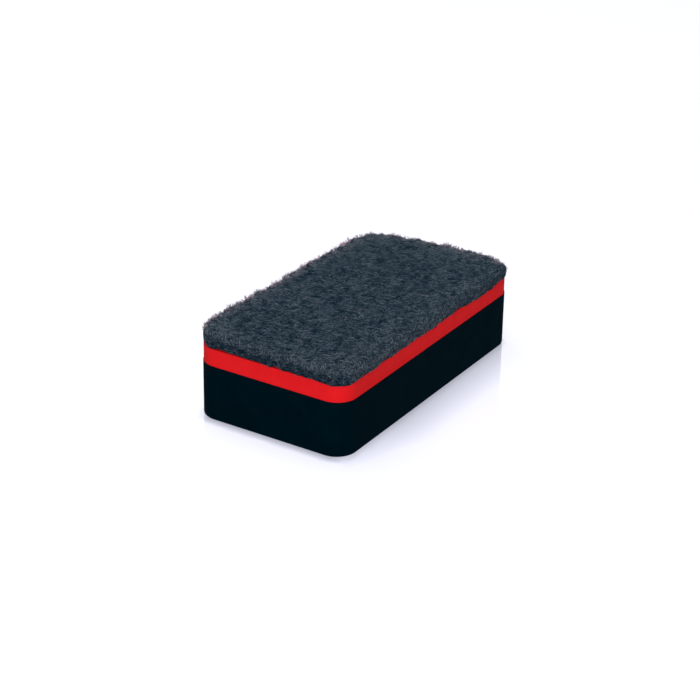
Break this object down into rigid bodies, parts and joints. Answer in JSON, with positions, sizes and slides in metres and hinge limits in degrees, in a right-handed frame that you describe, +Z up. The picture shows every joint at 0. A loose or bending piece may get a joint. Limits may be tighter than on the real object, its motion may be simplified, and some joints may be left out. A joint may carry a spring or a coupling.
{
  "type": "whiteboard eraser",
  "caption": "Board eraser in a rounded rectangular block: a tall black foam grip, a thinner red foam band and a dark grey felt wiping pad, glued face to face.",
  "frame": {"origin": "centre of the base of the foam block, on the surface that the eraser stands on", "axes": "+X along the length of the eraser, +Y across its width, +Z up through the red band to the felt"},
  "size_m": [0.1102, 0.0586, 0.0302],
  "materials": {
    "foam_black": "matt closed-cell foam with a cut skin",
    "foam_red": "matt closed-cell foam with a cut skin",
    "felt_grey": "needled felt with a loose nap"
  },
  "bodies": {
    "root": {"foam_block": "foam_black", "foam_band": "foam_red", "felt_pad": "felt_grey"}
  },
  "joints": []
}
